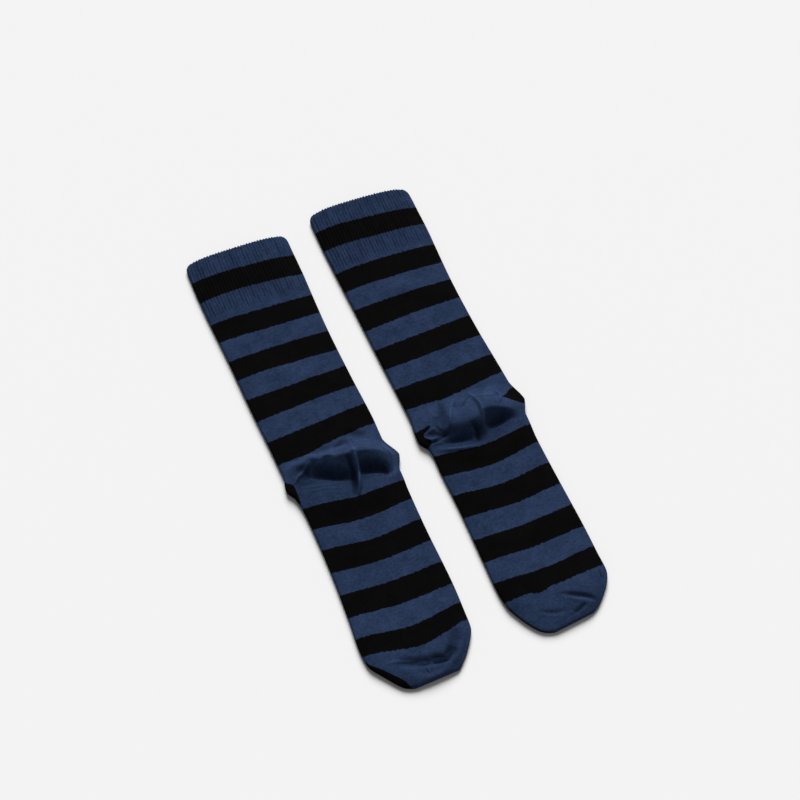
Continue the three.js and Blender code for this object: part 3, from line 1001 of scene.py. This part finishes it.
def knit_material(colours, sizes):
    """Matt cotton knit in two colours, which follow the stripes, with its stitches as bump. Painted shade
    lies between the stitches, in the cuff ribs' grooves and in the troughs, and a painted highlight lies on
    fold tops.
    """
    made = bpy.data.materials.get("cotton knit")
    if made:
        return made
    material = bpy.data.materials.new("cotton knit")
    material.use_nodes = True
    material.node_tree.nodes.clear()
    nodes = Nodes(material.node_tree)
    stitches = placed_group(nodes, stitch_group(columns(sizes)[3]), {"Course": COURSE})
    mottle = placed_group(nodes, mottle_group(), {"Patches": 0.9, "Specks": 0.9})
    dark = is_dark(nodes, stitches["Jag"])
    colour = nodes.mix(dark, (*colours.blue, 1), (*colours.black, 1))
    # painted shade: the colour darkens between the stitches' legs, where their height is low
    shade = nodes.math("MULTIPLY_ADD", stitches["Height"], *STITCH_SHADE)
    shade = nodes.math("MULTIPLY", shade, mottle["Share"])
    # painted shade in the cuff ribs' grooves, kept off the black
    groove = nodes.add("ShaderNodeAttribute", attribute_name="groove").outputs["Fac"]
    groove = nodes.math("MULTIPLY", groove, nodes.math("SUBTRACT", 1.0, dark))
    shade = nodes.math("MULTIPLY", shade, nodes.math("MULTIPLY_ADD", groove, *GROOVE_SHADE))
    # painted highlight on fold tops and painted shade in troughs
    crest = nodes.add("ShaderNodeAttribute", attribute_name="crest").outputs["Fac"]
    shade = nodes.math("MULTIPLY", shade, nodes.math("MULTIPLY_ADD", crest, *CREST_SHADE))
    colour = nodes.add("ShaderNodeVectorMath", {0: colour}, operation="SCALE")
    nodes.tree.links.new(shade, colour.inputs["Scale"])
    bumped = nodes.add(
        "ShaderNodeBump", {"Height": stitches["Height"], "Strength": 0.7, "Distance": 0.00022}
    )
    shader = nodes.add(
        "ShaderNodeBsdfPrincipled",
        {
            "Base Color": colour.outputs[0],
            "Roughness": 0.92,
            "Specular IOR Level": 0.02,
            "Sheen Weight": 0.006,
            "Sheen Roughness": 0.45,
            "Sheen Tint": (0.75, 0.78, 1.0, 1),
            "Normal": bumped.outputs[0],
        },
    )
    output = nodes.add("ShaderNodeOutputMaterial", {"Surface": shader.outputs[0]})
    output.is_active_output = True
    return material


def add_sock(sock, sizes, colours):
    """Makes one sock's piece, gives it its finish, and lets it stand for its solid."""
    piece = bpy.data.objects.new(sock["name"], sock_mesh(sock, sizes))
    bpy.context.scene.collection.objects.link(piece)
    piece.data.materials.append(knit_material(colours, sizes))
    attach(piece, "root")
    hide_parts(sock["node"])
    return piece


class SockSizes(bpy.types.PropertyGroup):
    wall: bpy.props.FloatProperty(
        name="Cloth", description="Thickness of the knitted cloth", default=0.0015, unit="LENGTH"
    )
    rib_rise: bpy.props.FloatProperty(
        name="Rib rise", description="Height of a cuff rib above the middle of the cloth", default=0.00036,
        unit="LENGTH",
    )
    ribs_on_face: bpy.props.IntProperty(
        name="Ribs", description="Cuff ribs on each face of the flat tube", default=RIBS_ON_FACE, min=8,
        max=40,
    )


class SockColours(bpy.types.PropertyGroup):
    blue: bpy.props.FloatVectorProperty(
        name="Blue", description="Heel, toe and lighter stripes", default=(0.0213, 0.0378, 0.0862), size=3,
        subtype="COLOR",
    )
    black: bpy.props.FloatVectorProperty(
        name="Black", description="Dark stripes", default=(0.0025, 0.0022, 0.0022), size=3, subtype="COLOR"
    )


class StageSettings(bpy.types.PropertyGroup):
    floor: bpy.props.FloatVectorProperty(
        name="Floor", description="Colour of the surface", default=(0.84, 0.84, 0.84), size=3,
        subtype="COLOR",
    )
    key: bpy.props.FloatProperty(name="Key light", description="Strength of the wide light", default=4.85)
    ambient: bpy.props.FloatProperty(
        name="Ambient", description="Strength of the light from all round", default=0.18
    )


class SOCKS_OT_left_sock(bpy.types.Operator):
    """Adds the left sock of the pair"""

    bl_idname = "socks.left_sock"
    bl_label = "Left sock"

    def execute(self, context):
        add_sock(LEFT_SOCK, context.scene.sock_sizes, context.scene.sock_colours)
        return {"FINISHED"}


class SOCKS_OT_right_sock(bpy.types.Operator):
    """Adds the right sock of the pair"""

    bl_idname = "socks.right_sock"
    bl_label = "Right sock"

    def execute(self, context):
        add_sock(RIGHT_SOCK, context.scene.sock_sizes, context.scene.sock_colours)
        return {"FINISHED"}


class SOCKS_OT_stage(bpy.types.Operator):
    """Adds the plain surface, the soft light and the camera"""

    bl_idname = "socks.stage"
    bl_label = "Stage"

    def execute(self, context):
        settings = context.scene.sock_stage
        add_floor(settings)
        add_lights(settings)
        add_camera()
        context.scene.view_settings.view_transform = "Standard"
        return {"FINISHED"}


def add_floor(settings):
    """A flat square just under the socks."""
    mesh = bpy.data.meshes.new("floor")
    corners = ((-1, -1), (1, -1), (1, 1), (-1, 1))
    points = [(FLOOR_REACH * x, FLOOR_REACH * y, -FLOOR_DROP) for x, y in corners]
    mesh.from_pydata(points, [], [(0, 1, 2, 3)])
    floor = bpy.data.objects.new("floor", mesh)
    bpy.context.scene.collection.objects.link(floor)
    material = bpy.data.materials.new("pale surface")
    material.use_nodes = True
    shader = material.node_tree.nodes["Principled BSDF"]
    shader.inputs["Base Color"].default_value = (*settings.floor, 1)
    shader.inputs["Roughness"].default_value = 0.9
    shader.inputs["Specular IOR Level"].default_value = 0.1
    mesh.materials.append(material)


def add_lights(settings):
    """One far, wide and soft light from the cuff end and the right, and even light from all round."""
    light = bpy.data.lights.new("key", "SUN")
    light.angle = math.radians(36)
    light.energy = settings.key
    lamp = bpy.data.objects.new("key", light)
    bpy.context.scene.collection.objects.link(lamp)
    turn, height, distance = math.radians(68), math.radians(35), 3.0
    away = (math.cos(turn) * math.cos(height), math.sin(turn) * math.cos(height), math.sin(height))
    lamp.location = [distance * a for a in away]
    lamp.rotation_mode = "QUATERNION"
    lamp.rotation_quaternion = lamp.location.to_track_quat("Z", "Y")
    world = bpy.data.worlds.new("even light")
    world.use_nodes = True
    world.node_tree.nodes["Background"].inputs["Color"].default_value = (1, 1, 1, 1)
    world.node_tree.nodes["Background"].inputs["Strength"].default_value = settings.ambient
    bpy.context.scene.world = world


def add_camera():
    """The camera, above the toes and to their left, 1.8 m from its aim."""
    camera = bpy.data.cameras.new("camera")
    camera.sensor_width = 36
    camera.lens = 105.5
    camera.clip_start, camera.clip_end = 0.05, 20
    holder = bpy.data.objects.new("camera", camera)
    bpy.context.scene.collection.objects.link(holder)
    turn, height, distance = math.radians(-22.63), math.radians(55.77), 1.791
    away = (math.sin(turn) * math.cos(height), -math.cos(turn) * math.cos(height), math.sin(height))
    aim = (0.01295, 0.0225, 0.0)
    holder.location = [p + distance * a for p, a in zip(aim, away)]
    back = holder.location.copy()
    for k in range(3):
        back[k] -= aim[k]
    holder.rotation_mode = "QUATERNION"
    holder.rotation_quaternion = back.to_track_quat("Z", "Y")
    bpy.context.scene.camera = holder


class SOCKS_PT_panel(bpy.types.Panel):
    bl_idname = "SOCKS_PT_panel"
    bl_label = "Pair of socks"
    bl_space_type = "VIEW_3D"
    bl_region_type = "UI"
    bl_category = "Socks"

    def draw(self, context):
        scene, layout = context.scene, self.layout
        for name in ("wall", "rib_rise", "ribs_on_face"):
            layout.prop(scene.sock_sizes, name)
        for name in ("blue", "black"):
            layout.prop(scene.sock_colours, name)
        for name in ("floor", "key", "ambient"):
            layout.prop(scene.sock_stage, name)
        for operator in OPERATORS:
            layout.operator(operator.bl_idname)


OPERATORS = (SOCKS_OT_left_sock, SOCKS_OT_right_sock, SOCKS_OT_stage)
GROUPS = (SockSizes, SockColours, StageSettings)
CLASSES = (*GROUPS, *OPERATORS, SOCKS_PT_panel)


def register():
    for cls in CLASSES:
        bpy.utils.register_class(cls)
    bpy.types.Scene.sock_sizes = bpy.props.PointerProperty(type=SockSizes)
    bpy.types.Scene.sock_colours = bpy.props.PointerProperty(type=SockColours)
    bpy.types.Scene.sock_stage = bpy.props.PointerProperty(type=StageSettings)


def unregister():
    del bpy.types.Scene.sock_stage
    del bpy.types.Scene.sock_colours
    del bpy.types.Scene.sock_sizes
    for cls in reversed(CLASSES):
        bpy.utils.unregister_class(cls)


def main():
    """Adds each piece and the stage in order."""
    register()
    bpy.ops.socks.left_sock()
    bpy.ops.socks.right_sock()
    bpy.ops.socks.stage()


if __name__ == "__main__":
    main()
